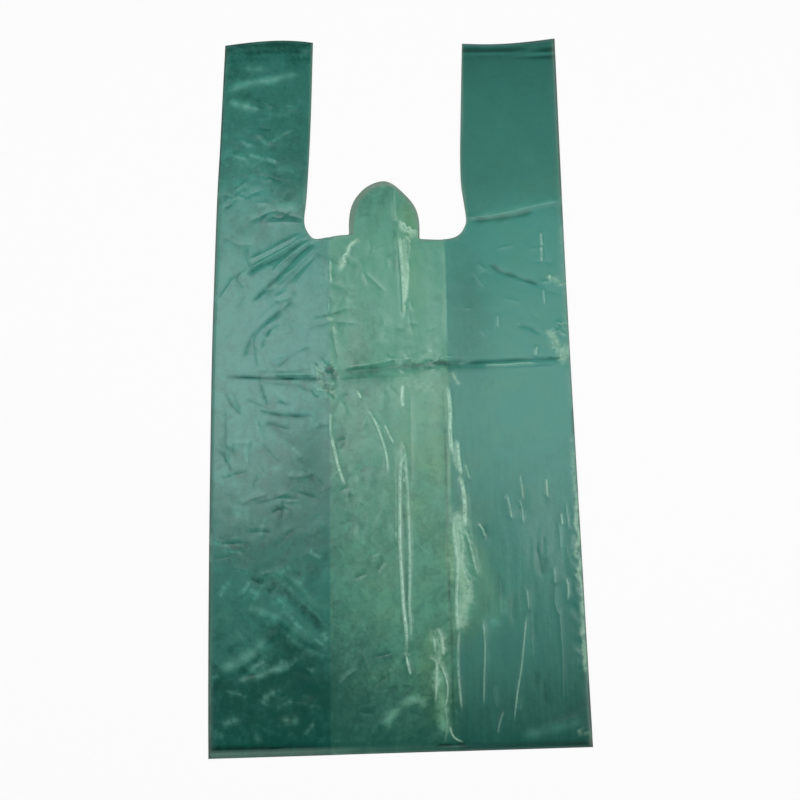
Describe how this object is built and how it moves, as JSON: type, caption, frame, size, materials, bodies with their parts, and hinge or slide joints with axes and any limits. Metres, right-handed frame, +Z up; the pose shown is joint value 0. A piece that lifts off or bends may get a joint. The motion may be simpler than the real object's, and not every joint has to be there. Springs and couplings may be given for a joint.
{
  "type": "plastic carrier bag",
  "caption": "Empty vest-type carrier bag of thin green film, lying flat and creased: side gussets folded in, end welds, handle loops beside a deep punched mouth with a round tongue.",
  "frame": {"origin": "centre of the bag's outline at the plane it lies on", "axes": "+Y towards the handles, +X to the bag's right seen from above with the handles away from the viewer, +Z up through the film layers"},
  "size_m": [0.2984, 0.604, 0.0056],
  "materials": {
    "film": "thin translucent green film, soft satin sheen, creased"
  },
  "bodies": {
    "root": {"bag_film": "film"}
  },
  "joints": []
}
